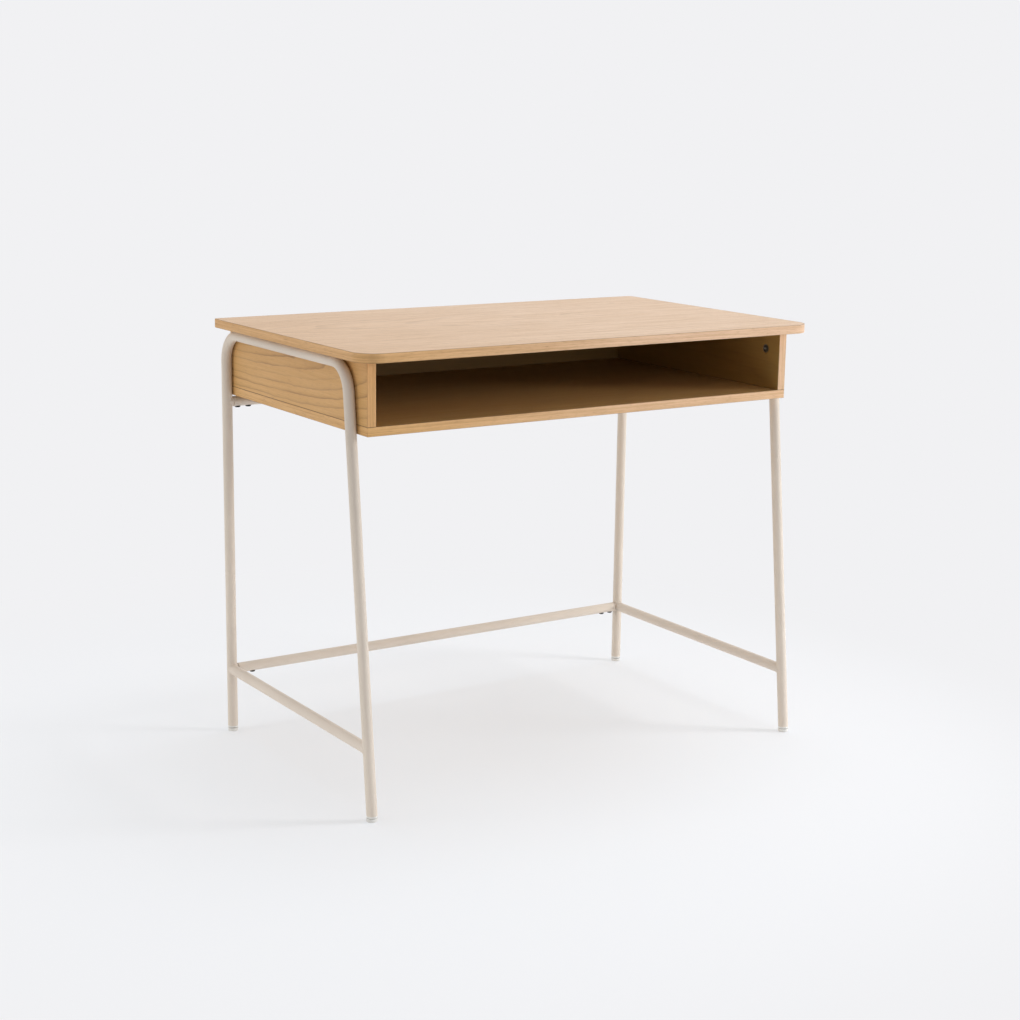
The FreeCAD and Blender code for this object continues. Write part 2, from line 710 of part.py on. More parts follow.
def make_cam_bolt(name, side, along):
    body = new_body(name)
    thread = "(dims.cam_bolt_thread / 2)"
    shank = "(dims.cam_bolt_shank / 2)"
    neck = "(dims.cam_bolt_neck / 2)"
    foot = "(dims.cam_bolt_head_height - dims.cam_edge)"
    neck_top = f"({foot} + dims.cam_bolt_neck_height)"
    revolve(body, [("0", "-dims.cam_edge"), (shank, "-dims.cam_edge"), (shank, foot), (neck, foot),
                   (neck, neck_top), (shank, neck_top), (shank, "0"), (thread, "0"),
                   (thread, "dims.cam_thread_depth"), ("0", "dims.cam_thread_depth")], "turned_form")
    return place(body, f"{side} * {panel_middle}", along, top_under)


def make_dowels():
    upright = []
    level = []
    for end, side in SIDES:
        for step, along in enumerate(top_dowel_places, start=1):
            dowel = rod(f"top_dowel_{end}{step}", "dims.dowel_diameter / 2", "dims.dowel_length")
            upright.append(place(dowel, f"{side} * {panel_middle}", along,
                                 f"{top_under} + dims.dowel_in_face - dims.dowel_length"))
        for step, up in enumerate(back_dowel_heights, start=1):
            dowel = rod(f"back_dowel_{end}{step}", "dims.dowel_diameter / 2", "dims.dowel_length")
            level.append(place(dowel, f"{side} * ({box_inner} + dims.dowel_in_face)", back_middle, up,
                               (0, 1, 0), -90 * side))
    return [group("top_dowels", upright), group("back_dowels", level)]


def make_box_screws():
    screws = []
    for step, (across, along) in enumerate(box_screw_places, start=1):
        body = new_body(f"box_screw{step}")
        head = "(dims.box_screw_head / 2)"
        shank = "(dims.box_screw_shank / 2)"
        thread = "(dims.box_screw_thread / 2)"
        revolve(body, [("0", "0"), (head, "0"), (head, "-dims.box_screw_head_height"),
                       (shank, "-dims.box_screw_head_height"), (shank, "-dims.bottom_thickness"),
                       (thread, "-dims.bottom_thickness"), (thread, "-dims.box_screw_length"),
                       ("0", "-dims.box_screw_length")], "turned_form")
        hex_socket(body, "socket", "dims.box_screw_socket", "0")
        screws.append(place(body, across, along, box_bottom, (1, 0, 0), 180))
    return group("bottom_panel_screws", screws)


# Assembly
pieces = [make_top(), make_top_band(), make_bottom(), make_bottom_band(), make_back()]
for end, side in SIDES:
    pieces.append(make_side_panel(end, side))
    pieces.append(make_side_band(end, side))
    pieces.append(make_hoop(end, side))
    pieces.append(make_stretcher(end, side))
    for level, up in bar_levels:
        pieces.append(make_spigot(f"{level}_spigot_{end}", side, up))
    for leg, sign in ENDS:
        corner = f"{leg}_{end}"
        across = f"{side} * {hoop_x}"
        along = f"{sign} * {foot_y}"
        pieces.append(make_insert(f"foot_insert_{corner}", leg, across, along))
        pieces.append(make_foot(f"levelling_foot_{corner}", across, along))
for level, up in bar_levels:
    pieces.append(make_crossbar(f"{level}_crossbar", up))
pieces.append(make_bar_screws())
pieces += make_hoop_fasteners()
pieces += make_cam_fittings()
pieces += make_dowels()
pieces.append(make_box_screws())
doc.recompute()

# Every feature has to be sound before anything is written
for item in doc.Objects:
    if "Invalid" in item.State or "Error" in item.State:
        raise RuntimeError(f"{item.Name} failed: {item.State}")
for piece in pieces:
    if piece.Shape.isNull() or not piece.Shape.isValid():
        raise RuntimeError(f"{piece.Label} has no sound shape")

os.makedirs("parts", exist_ok=True)
for piece in pieces:
    piece.Shape.exportStep(f"parts/{piece.Label}.step")
    print(piece.Label, len(piece.Shape.Solids), round(piece.Shape.Volume, 1))
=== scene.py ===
import json
import math

import bpy
from mathutils import Matrix, Vector


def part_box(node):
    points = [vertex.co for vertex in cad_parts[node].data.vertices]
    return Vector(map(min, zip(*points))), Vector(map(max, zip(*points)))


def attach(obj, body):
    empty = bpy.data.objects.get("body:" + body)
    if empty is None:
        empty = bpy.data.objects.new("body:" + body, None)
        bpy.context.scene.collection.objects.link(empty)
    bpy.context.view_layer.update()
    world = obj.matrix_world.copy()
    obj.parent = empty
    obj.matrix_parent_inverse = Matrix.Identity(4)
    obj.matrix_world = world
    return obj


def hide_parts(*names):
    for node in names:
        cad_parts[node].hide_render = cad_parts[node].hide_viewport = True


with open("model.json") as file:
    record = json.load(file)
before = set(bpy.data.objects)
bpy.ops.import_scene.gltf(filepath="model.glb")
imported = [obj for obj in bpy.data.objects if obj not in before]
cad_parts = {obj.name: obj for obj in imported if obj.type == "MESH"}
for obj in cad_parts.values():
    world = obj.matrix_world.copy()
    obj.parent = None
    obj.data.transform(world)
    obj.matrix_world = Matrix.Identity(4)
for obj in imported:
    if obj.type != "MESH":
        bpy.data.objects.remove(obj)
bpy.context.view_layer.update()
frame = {"nodes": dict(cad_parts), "record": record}
print("frame loaded:", len(frame["nodes"]), "nodes")

# Small tools for node trees
treeValues = {
    "column": 200,             # spacing of the nodes in the editor
    "row": 180,
    "noiseSpan": (0.3, 0.7),   # where most of a noise lies
}


def addNode(tree, kind, across, down, **settings):
    node = tree.nodes.new(kind)
    node.location = (across * treeValues["column"], -down * treeValues["row"])
    for name, setting in settings.items():
        setattr(node, name, setting)
    return node


def wire(tree, source, target):
    tree.links.new(source, target)


# An input takes a plain number, a colour, or a wire from another node
def feed(tree, socket, given):
    if isinstance(given, (int, float)):
        socket.default_value = given
    elif isinstance(given, tuple):
        socket.default_value = (*given, 1)
    else:
        wire(tree, given, socket)


def mathNode(tree, operation, across, down, *inputs):
    node = addNode(tree, "ShaderNodeMath", across, down, operation=operation)
    for socket, given in zip(node.inputs, inputs):
        feed(tree, socket, given)
    return node.outputs[0]


def mixColour(tree, across, down, factor, first, second, blend="MIX"):
    node = addNode(tree, "ShaderNodeMix", across, down, data_type="RGBA", blend_type=blend)
    for number, given in ((0, factor), (6, first), (7, second)):     # its inputs for colours
        feed(tree, node.inputs[number], given)
    return node.outputs[2]


def remap(tree, across, down, socket, span, result=(0.0, 1.0), **settings):
    node = addNode(tree, "ShaderNodeMapRange", across, down, **settings)
    wire(tree, socket, node.inputs[0])
    for slot, number in zip(node.inputs[1:5], (*span, *result)):
        slot.default_value = number
    return node.outputs[0]


def axesOf(tree, across, down, vector):
    node = addNode(tree, "ShaderNodeSeparateXYZ", across, down)
    wire(tree, vector, node.inputs[0])
    return node.outputs


# Noise drawn out by its scales along the three axes
def drawnNoise(tree, across, down, vector, scales, detail, roughness):
    drawn = addNode(tree, "ShaderNodeVectorMath", across - 1, down, operation="MULTIPLY")
    wire(tree, vector, drawn.inputs[0])
    drawn.inputs[1].default_value = scales
    node = addNode(tree, "ShaderNodeTexNoise", across, down)
    wire(tree, drawn.outputs[0], node.inputs["Vector"])
    for name, number in (("Scale", 1.0), ("Detail", detail), ("Roughness", roughness)):
        node.inputs[name].default_value = number
    return node.outputs["Fac"]


# A group reads a place and some numbers, and puts out plain values
def newGroup(name, numbers, outputs):
    group = bpy.data.node_groups.new(name, "ShaderNodeTree")
    group.interface.new_socket("Vector", in_out="INPUT", socket_type="NodeSocketVector")
    for label, number in numbers.items():
        socket = group.interface.new_socket(label, in_out="INPUT", socket_type="NodeSocketFloat")
        socket.default_value = number
    for label in outputs:
        group.interface.new_socket(label, in_out="OUTPUT", socket_type="NodeSocketFloat")
    start = addNode(group, "NodeGroupInput", 0, 0)
    end = addNode(group, "NodeGroupOutput", 10, 0)
    return group, start.outputs, end.inputs


# Sawn veneer: growth rings cut flat give long arches with their tips towards -X, and fibres and
# pores run along X; each ring has its own strength, and fades in and out along its length
grainNoises = {                # scales along, across and through the grain, detail and roughness
    "swing": ((3.2, 10.0, 10.0), 2.0, 0.5),
    "shake": ((26.0, 85.0, 85.0), 2.0, 0.5),
    "fading": ((7.0, 40.0, 40.0), 1.0, 0.5),
    "fibres": ((9.0, 420.0, 420.0), 3.0, 0.6),
    "pores": ((48.0, 1500.0, 1500.0), 1.0, 0.5),
    "clouds": ((1.8, 9.0, 9.0), 2.0, 0.5),
    "mottle": ((8.0, 74.0, 74.0), 4.0, 0.6),
}
grainValues = {
    "ringStrength": (0.3, 1.0),         # of the faintest ring and of the boldest
    "fadeSpan": (0.3, 0.65),
    "fadeStrength": (0.35, 1.0),
    "ringPower": 6.0,                   # how late across its width a ring darkens
    "ringEnd": 0.90,                    # where across its width it begins to end
    "poreSpan": (0.60, 0.72),
    "mottleSpan": (0.42, 0.66),
}


def makeVeneerGroup():
    group, given, result = newGroup(
        "sawnVeneer",
        {"Ring spacing": 0.012, "Taper": 0.14, "Wander": 0.012, "Ripple": 0.002},
        ["Rings", "Fibres", "Pores", "Clouds", "Mottle"],
    )
    noises = {name: drawnNoise(group, 2, row, given["Vector"], *values)
              for row, (name, values) in enumerate(grainNoises.items(), start=2)}
    axes = axesOf(group, 1, 0, given["Vector"])
    ahead = mathNode(group, "MULTIPLY", 2, 0, mathNode(group, "MINIMUM", 1, 1, axes[0], 0.0),
                     given["Taper"])
    flat = addNode(group, "ShaderNodeCombineXYZ", 3, 0)
    wire(group, ahead, flat.inputs[0])
    wire(group, axes[1], flat.inputs[1])
    reach = addNode(group, "ShaderNodeVectorMath", 4, 0, operation="LENGTH")
    wire(group, flat.outputs[0], reach.inputs[0])

    swing = mathNode(group, "MULTIPLY", 3, 2, noises["swing"], given["Wander"])
    shake = mathNode(group, "MULTIPLY", 3, 3, noises["shake"], given["Ripple"])
    bent = mathNode(group, "ADD", 4, 2, swing, shake)
    depth = mathNode(group, "DIVIDE", 6, 0, mathNode(group, "ADD", 5, 0, reach.outputs["Value"], bent),
                     given["Ring spacing"])
    phase = mathNode(group, "FRACT", 7, 0, depth)
    own = addNode(group, "ShaderNodeTexWhiteNoise", 7, 2, noise_dimensions="1D")
    wire(group, mathNode(group, "FLOOR", 6, 2, depth), own.inputs["W"])
    strength = remap(group, 8, 3, own.outputs["Value"], (0.0, 1.0), grainValues["ringStrength"])
    fading = remap(group, 6, 3, noises["fading"], grainValues["fadeSpan"], grainValues["fadeStrength"])
    weight = mathNode(group, "MULTIPLY", 8, 2, strength, fading)
    # a ring darkens slowly and ends sharply
    rise = mathNode(group, "POWER", 8, 0, phase, grainValues["ringPower"])
    fall = remap(group, 8, 1, phase, (grainValues["ringEnd"], 1.0), (1.0, 0.0))
    line = mathNode(group, "MULTIPLY", 9, 0, rise, fall)

    wire(group, mathNode(group, "MULTIPLY", 9, 1, line, weight), result["Rings"])
    wire(group, noises["fibres"], result["Fibres"])
    wire(group, noises["clouds"], result["Clouds"])
    wire(group, remap(group, 6, 5, noises["pores"], grainValues["poreSpan"]), result["Pores"])
    wire(group, remap(group, 6, 7, noises["mottle"], grainValues["mottleSpan"]), result["Mottle"])
    return group


# Orange peel and faint mottling of a sprayed or moulded skin
def makeSkinGroup():
    group, given, result = newGroup("fineSkin", {"Grain": 700.0, "Patch": 9.0}, ["Peel", "Mottle"])
    for name, size, detail, row in (("Peel", "Grain", 2.0, 1), ("Mottle", "Patch", 4.0, 2)):
        node = addNode(group, "ShaderNodeTexNoise", 2, row)
        wire(group, given["Vector"], node.inputs["Vector"])
        wire(group, given[size], node.inputs["Scale"])
        node.inputs["Detail"].default_value = detail
        wire(group, node.outputs["Fac"], result[name])
    return group


veneerGroup = makeVeneerGroup()
skinGroup = makeSkinGroup()
print("shared groups built")


# Materials
def newMaterial(name):
    material = bpy.data.materials.new(name)
    material.use_nodes = True
    tree = material.node_tree
    tree.nodes.clear()
    shader = addNode(tree, "ShaderNodeBsdfPrincipled", 9, 0)
    output = addNode(tree, "ShaderNodeOutputMaterial", 11, 0)
    wire(tree, shader.outputs[0], output.inputs["Surface"])
    coordinates = addNode(tree, "ShaderNodeTexCoord", 0, 0)
    return material, tree, shader, coordinates.outputs["Object"]


def placeGroup(tree, group, across, down, vector, numbers):
    node = addNode(tree, "ShaderNodeGroup", across, down, node_tree=group)
    wire(tree, vector, node.inputs["Vector"])
    for name, number in numbers.items():
        node.inputs[name].default_value = number
    return node.outputs


def addBump(tree, shader, across, down, height, strength, distance):
    bump = addNode(tree, "ShaderNodeBump", across, down)
    bump.inputs["Strength"].default_value = strength
    bump.inputs["Distance"].default_value = distance
    wire(tree, height, bump.inputs["Height"])
    wire(tree, bump.outputs[0], shader.inputs["Normal"])


# painted shade along the seams: its colour, and where and how strongly it is drawn
rimValues = {
    "colour": (0.160, 0.080, 0.030),
    "tilt": (0.10, 0.40),        # lean of a band's arris where the line begins and where it is full
    "seam": (0.0012, 0.0004),    # the same on an upright board, as distances from its edge
    "boardShare": 0.5,           # how dark the line is there
}


# Painted shade, partly a dark joint line: arrises that lean up or down are darkened, which draws a fine
# line at each seam
def rimmed(tree, across, down, colour, share):
    surface = addNode(tree, "ShaderNodeNewGeometry", across - 4, down)
    facing = axesOf(tree, across - 3, down, surface.outputs["Normal"])
    tilt = mathNode(tree, "ABSOLUTE", across - 2, down, facing[2])
    paintedShade = remap(tree, across - 1, down, tilt, rimValues["tilt"], (0.0, share))
    return mixColour(tree, across, down, paintedShade, colour, rimValues["colour"])


# The same painted shade line along the upper and lower edge of an upright board; all of them stand
# equally high
def withSeamShade(tree, across, down, place, colour):
    low, high = (corner[2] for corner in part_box("back_panel"))
    span = [(high - low) / 2 - distance for distance in rimValues["seam"]]
    axes = axesOf(tree, across - 4, down, place)
    height = mathNode(tree, "SUBTRACT", across - 3, down, axes[2], (low + high) / 2)
    away = mathNode(tree, "ABSOLUTE", across - 2, down, height)
    paintedShade = remap(tree, across - 1, down, away, span, (0.0, rimValues["boardShare"]))
    return mixColour(tree, across, down, paintedShade, colour, rimValues["colour"])


# Painted sheen: a board is paled towards its right end, standing in for the stronger light and the
# reflection from the lamps at the right
def paintedSheen(tree, place, colour, pale, share, reach):
    axes = axesOf(tree, 3, 5, place)
    amount = remap(tree, 4, 5, axes[0], reach, (0.0, share))
    return mixColour(tree, 5, 5, amount, colour, pale)


veneerValues = {
    "ring": (0.230, 0.110, 0.036),
    "pore": (0.300, 0.155, 0.060),
    # the pale tone of the painted sheen towards the right end
    "paintedSheen": (0.885, 0.685, 0.525),
    "sheenReach": (-0.45, 0.05),       # from the left, where it begins and where it is full
    "clouds": (0.0, 0.55),              # share of the deep tone
    "fibreSpan": (0.35, 0.75),
    "fibres": (0.0, 0.4),
    "roughness": (0.44, 0.58),
    "ringDepth": 0.4,                   # beside the depth of a pore
    "bump": (0.25, 0.0002),             # strength and depth
}

# each board: its two tones, the axes along its grain, across it and through it, where its arches are
# centred, how bold its rings, pores and mottle are, and how strongly its right end is paled by painted
# sheen
boardValues = {
    # the top's tones are paler and less saturated than the sides', partly painted sheen of the light from
    # above
    "topVeneer": {"pale": (0.790, 0.548, 0.355), "deep": (0.660, 0.432, 0.252), "axes": "xyz",
                  "centre": (0.22, 0.05, 0.0), "spacing": 0.017, "taper": 0.16, "wander": 0.06,
                  "ripple": 0.004, "figure": 0.55, "pores": 0.60, "mottle": 0.60, "sheen": 0.56},
    "sideVeneer": {"pale": (0.665, 0.398, 0.160), "deep": (0.525, 0.292, 0.102), "axes": "yzx",
                   "centre": (0.0, 0.150, 0.722), "spacing": 0.0125, "taper": 0.155, "wander": 0.020,
                   "ripple": 0.0045, "figure": 1.3, "pores": 0.45, "mottle": 0.20, "sheen": 0.0},
    # painted shade: the inner faces of the side panels get darker tones than their outer faces
    "shadedInnerVeneer": {"pale": (0.440, 0.273, 0.082), "deep": (0.355, 0.208, 0.056), "axes": "yzx",
                    "centre": (0.0, 0.100, 0.640), "spacing": 0.016, "taper": 0.12, "wander": 0.020,
                    "ripple": 0.004, "figure": 0.40, "pores": 0.35, "mottle": 0.20, "sheen": 0.0},
    "backVeneer": {"pale": (0.610, 0.368, 0.150), "deep": (0.485, 0.272, 0.098), "axes": "xzy",
                   "centre": (0.15, 0.0, 0.68), "spacing": 0.013, "taper": 0.10, "wander": 0.022,
                   "ripple": 0.004, "figure": 0.6, "pores": 0.35, "mottle": 0.20, "sheen": 0.0},
    "bottomVeneer": {"pale": (0.600, 0.368, 0.155), "deep": (0.490, 0.282, 0.106), "axes": "xyz",
                     "centre": (-0.05, 0.05, 0.0), "spacing": 0.016, "taper": 0.12, "wander": 0.05,
                     "ripple": 0.004, "figure": 0.4, "pores": 0.4, "mottle": 0.25, "sheen": 0.0},
}
# painted shade: two of the boards get darker tones inside the cubby, in place of the shade there
boardValues["shadedInnerFloorVeneer"] = {**boardValues["bottomVeneer"], "pale": (0.430, 0.270, 0.105),
                                   "deep": (0.350, 0.205, 0.075), "mottle": 0.30}
boardValues["shadedInnerBackVeneer"] = {**boardValues["backVeneer"], "pale": (0.330, 0.200, 0.064),
                                  "deep": (0.265, 0.152, 0.045)}


def makeVeneer(name):
    board = boardValues[name]
    material, tree, shader, place = newMaterial(name)
    centred = addNode(tree, "ShaderNodeVectorMath", 1, 0, operation="SUBTRACT")
    wire(tree, place, centred.inputs[0])
    centred.inputs[1].default_value = board["centre"]
    axes = axesOf(tree, 1, 1, centred.outputs[0])
    turned = addNode(tree, "ShaderNodeCombineXYZ", 1, 2)
    for slot, axis in zip(turned.inputs, board["axes"]):
        wire(tree, axes["xyz".index(axis)], slot)
    figure = placeGroup(tree, veneerGroup, 2, 0, turned.outputs[0],
                        {"Ring spacing": board["spacing"], "Taper": board["taper"],
                         "Wander": board["wander"], "Ripple": board["ripple"]})

    clouds = remap(tree, 3, 0, figure["Clouds"], treeValues["noiseSpan"], veneerValues["clouds"])
    colour = mixColour(tree, 4, 0, clouds, board["pale"], board["deep"])
    # painted sheen: paler towards the board's right end
    if board["sheen"]:
        colour = paintedSheen(tree, place, colour, veneerValues["paintedSheen"], board["sheen"],
                          veneerValues["sheenReach"])
    fibres = remap(tree, 3, 1, figure["Fibres"], veneerValues["fibreSpan"], veneerValues["fibres"])
    mottle = mathNode(tree, "MULTIPLY", 3, 2, figure["Mottle"], board["mottle"])
    rings = mathNode(tree, "MULTIPLY", 3, 3, figure["Rings"], board["figure"])
    pores = mathNode(tree, "MULTIPLY", 3, 4, figure["Pores"], board["pores"])
    layers = ((mottle, board["deep"]), (fibres, board["deep"]),
              (rings, veneerValues["ring"]), (pores, veneerValues["pore"]))
    for column, (amount, tone) in enumerate(layers, start=5):
        colour = mixColour(tree, column, 1, amount, colour, tone)
    # upright boards get the painted shade line along their upper and lower edges
    if board["axes"][2] != "z":        # an upright board
        colour = withSeamShade(tree, 8, 5, place, colour)
    wire(tree, colour, shader.inputs["Base Color"])

    rough = remap(tree, 7, 2, figure["Fibres"], treeValues["noiseSpan"], veneerValues["roughness"])
    wire(tree, rough, shader.inputs["Roughness"])
    ringDepth = mathNode(tree, "MULTIPLY", 4, 4, figure["Rings"], veneerValues["ringDepth"])
    sunk = mathNode(tree, "ADD", 5, 3, figure["Pores"], ringDepth)
    addBump(tree, shader, 7, 3, mathNode(tree, "MULTIPLY", 6, 3, sunk, -1.0), *veneerValues["bump"])
    return material


bandValues = {
    # painted sheen towards the right end: its share and reach
    "sheen": 0.65,
    "sheenReach": (-0.45, 0.12),
    "streakNoise": (4.0, 0.62),         # detail and roughness
    "streakSpan": (0.34, 0.68),
    "streaks": (0.0, 0.9),              # share of the deep tone
    "fleckNoise": (3.0, 0.6),
    "fleckSpan": (0.55, 0.72),
    "flecks": (0.0, 0.70),
    "fleckColour": (0.330, 0.170, 0.065),
    "roughness": (0.40, 0.54),
    "bump": (0.18, 0.0002),             # strength and depth
}
# each strip: its tones and the pale tone of its painted sheen, its scales, with small numbers along the
# strip and large ones across it, and how dark the painted shade on its rims is
levelScales = {"streak": (6.0, 6.0, 480.0), "fleck": (56.0, 56.0, 1250.0)}
uprightScales = {"streak": (480.0, 480.0, 7.0), "fleck": (1250.0, 1250.0, 56.0)}
stripValues = {
    "topBand": {"pale": (0.715, 0.432, 0.190), "deep": (0.546, 0.303, 0.114),
                "paintedSheen": (0.789, 0.585, 0.461), "scales": levelScales, "rim": 0.7},
    "lowBand": {"pale": (0.710, 0.425, 0.168), "deep": (0.542, 0.299, 0.100),
                "paintedSheen": (0.778, 0.552, 0.397), "scales": levelScales, "rim": 1.0},
    "uprightBand": {"pale": (0.720, 0.422, 0.180), "deep": (0.550, 0.297, 0.108),
                    "paintedSheen": (0.755, 0.554, 0.415), "scales": uprightScales, "rim": 1.0},
}


# Edge band: straight streaks and short flecks along the strip
def makeBand(name):
    strip = stripValues[name]
    material, tree, shader, place = newMaterial(name)
    streak = drawnNoise(tree, 2, 0, place, strip["scales"]["streak"], *bandValues["streakNoise"])
    fleck = drawnNoise(tree, 2, 1, place, strip["scales"]["fleck"], *bandValues["fleckNoise"])
    # painted sheen: paler towards the strip's right end
    colour = paintedSheen(tree, place, strip["pale"], strip["paintedSheen"], bandValues["sheen"],
                      bandValues["sheenReach"])
    darker = tuple(deep / pale for deep, pale in zip(strip["deep"], strip["pale"]))
    streaks = remap(tree, 3, 0, streak, bandValues["streakSpan"], bandValues["streaks"])
    colour = mixColour(tree, 4, 0, streaks, colour, darker, "MULTIPLY")
    flecks = remap(tree, 3, 1, fleck, bandValues["fleckSpan"], bandValues["flecks"])
    colour = mixColour(tree, 5, 0, flecks, colour, bandValues["fleckColour"])
    # the rims get painted shade
    wire(tree, rimmed(tree, 7, 3, colour, strip["rim"]), shader.inputs["Base Color"])
    rough = remap(tree, 5, 1, streak, treeValues["noiseSpan"], bandValues["roughness"])
    wire(tree, rough, shader.inputs["Roughness"])
    addBump(tree, shader, 6, 2, mathNode(tree, "MULTIPLY", 5, 2, streak, -1.0), *bandValues["bump"])
    return material


# each skin: its tones, the scales of its orange peel and its mottling, its gloss, its bump as strength
# and depth, and whether it is metal
skinValues = {
    "powderCoat": {"pale": (0.700, 0.627, 0.548), "deep": (0.648, 0.574, 0.498), "grain": 650.0,
                   "patch": 7.0, "roughness": (0.46, 0.56), "bump": (0.10, 0.0003), "metal": 0.0},
    "glidePlastic": {"pale": (0.770, 0.765, 0.740), "deep": (0.690, 0.685, 0.660), "grain": 420.0,
                     "patch": 60.0, "roughness": (0.30, 0.42), "bump": (0.05, 0.0003), "metal": 0.0},
    "blackSteel": {"pale": (0.030, 0.029, 0.028), "deep": (0.014, 0.013, 0.012), "grain": 900.0,
                   "patch": 120.0, "roughness": (0.34, 0.50), "bump": (0.06, 0.0003), "metal": 0.6},
    "zincSteel": {"pale": (0.520, 0.515, 0.500), "deep": (0.330, 0.325, 0.310), "grain": 800.0,
                  "patch": 150.0, "roughness": (0.28, 0.46), "bump": (0.06, 0.0003), "metal": 1.0},
    "dowelBeech": {"pale": (0.640, 0.430, 0.245), "deep": (0.520, 0.320, 0.165), "grain": 500.0,
                   "patch": 90.0, "roughness": (0.55, 0.70), "bump": (0.08, 0.0003), "metal": 0.0},
}


def makeSkin(name):
    values = skinValues[name]
    material, tree, shader, place = newMaterial(name)
    skin = placeGroup(tree, skinGroup, 2, 0, place, {"Grain": values["grain"], "Patch": values["patch"]})
    blotch = remap(tree, 3, 0, skin["Mottle"], treeValues["noiseSpan"])
    wire(tree, mixColour(tree, 4, 0, blotch, values["pale"], values["deep"]), shader.inputs["Base Color"])
    rough = remap(tree, 4, 1, skin["Peel"], treeValues["noiseSpan"], values["roughness"])
    wire(tree, rough, shader.inputs["Roughness"])
    shader.inputs["Metallic"].default_value = values["metal"]
    addBump(tree, shader, 5, 2, skin["Peel"], *values["bump"])
    return material


materials = {name: makeVeneer(name) for name in boardValues}
materials.update({name: makeBand(name) for name in stripValues})
materials.update({name: makeSkin(name) for name in skinValues})
print("materials made:", len(materials))

# Which finish each CAD node wears, by its name or by the record's slot
nodeFinish = {
    "desk_top": "topVeneer", "bottom_panel": "bottomVeneer", "back_panel": "backVeneer",
    "side_panel_left": "sideVeneer", "side_panel_right": "sideVeneer",
    "top_edge_band": "topBand", "bottom_edge_band": "lowBand",
    "side_band_left": "uprightBand", "side_band_right": "uprightBand",
}
slotFinish = {
    "powder_coat": "powderCoat", "black_steel": "blackSteel", "zinc_steel": "zincSteel",
    "dowel_wood": "dowelBeech", "glide_plastic": "glidePlastic",
}
nodeSlot = {subpart["node"]: subpart["material_slot"] for subpart in frame["record"]["subparts"]}


def finishOf(node):
    return materials[nodeFinish.get(node) or slotFinish[nodeSlot[node]]]


for node in nodeSlot:
    mesh = frame["nodes"][node].data
    mesh.materials.clear()
    mesh.materials.append(finishOf(node))
print("CAD nodes finished:", len(nodeSlot))

# Boards with eased edges, so that arrises catch the light and joints show as fine lines
easedValues = {
    "nodes": ("desk_top", "bottom_panel", "back_panel", "side_panel_left", "side_panel_right",
              "bottom_edge_band", "side_band_left", "side_band_right"),
    "drilled": ("bottom_panel", "back_panel", "side_panel_left", "side_panel_right"),
    "otherFaces": {            # faces with a finish of their own: which way they face, and what they wear
        # the faces inside the cubby wear darker tones, which are painted shade
        "side_panel_left": (((1, 0, 0), "shadedInnerVeneer"), ((0, 1, 0), "uprightBand")),
        "side_panel_right": (((-1, 0, 0), "shadedInnerVeneer"), ((0, 1, 0), "uprightBand")),
        "bottom_panel": (((0, 0, 1), "shadedInnerFloorVeneer"),),
        "back_panel": (((0, -1, 0), "shadedInnerBackVeneer"),),
    },
    "flat": 0.9,               # least share of a face's normal that way
    "radius": 0.0008,
    "thinShare": 0.45,         # of a thin strip's thickness, where that is less
    "steps": 2,
    "easedFrom": 40.0,         # degrees; softer edges stay as they are
    "mergeWithin": 0.00001,
    "flatTo": 0.5,             # degrees between facets that become one face of the top
    "smoothTo": 20.0,          # degrees between faces of the top that are shaded as one
}


def weldedCopy(node):
    bpy.ops.object.select_all(action="DESELECT")
    board = bpy.data.objects.new("welded_" + node, frame["nodes"][node].data.copy())
    bpy.context.scene.collection.objects.link(board)
    board.select_set(True)
    bpy.context.view_layer.objects.active = board
    bpy.ops.object.mode_set(mode="EDIT")
    bpy.ops.mesh.select_all(action="SELECT")
    bpy.ops.mesh.remove_doubles(threshold=easedValues["mergeWithin"])
    bpy.ops.object.mode_set(mode="OBJECT")
    return board


def easeArrises(board, radius):
    ease = board.modifiers.new("ease", "BEVEL")
    ease.width = radius
    ease.segments = easedValues["steps"]
    ease.limit_method = "ANGLE"
    ease.angle_limit = math.radians(easedValues["easedFrom"])
    bpy.ops.object.modifier_apply(modifier=ease.name)


def easedBox(low, high):
    bpy.ops.object.select_all(action="DESELECT")
    bpy.ops.mesh.primitive_cube_add()
    box = bpy.context.object
    for vertex in box.data.vertices:
        vertex.co = [last if side > 0 else first for side, first, last in zip(vertex.co, low, high)]
    thinnest = min(last - first for first, last in zip(low, high))
    easeArrises(box, min(easedValues["radius"], easedValues["thinShare"] * thinnest))
    return box


# The top has rounded corners, so it is eased on a copy of its own shape
def easedTop(node):
    board = weldedCopy(node)
    bpy.ops.object.mode_set(mode="EDIT")
    bpy.ops.mesh.dissolve_limited(angle_limit=math.radians(easedValues["flatTo"]))
    bpy.ops.object.mode_set(mode="OBJECT")
    easeArrises(board, easedValues["radius"])
    bpy.ops.object.shade_smooth_by_angle(angle=math.radians(easedValues["smoothTo"]))
    return board


# A drilled board is an eased box cut to the board, because the short edges round its holes would
# hold the easing back
def easedDrilled(node):
    drilled = weldedCopy(node)
    board = easedBox(*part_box(node))
    cut = board.modifiers.new("holes", "BOOLEAN")
    cut.operation = "INTERSECT"
    cut.object = drilled
    bpy.ops.object.modifier_apply(modifier=cut.name)
    bpy.data.objects.remove(drilled)
    for face in board.data.polygons:
        face.material_index = 0
    bpy.ops.object.shade_flat()
    return board


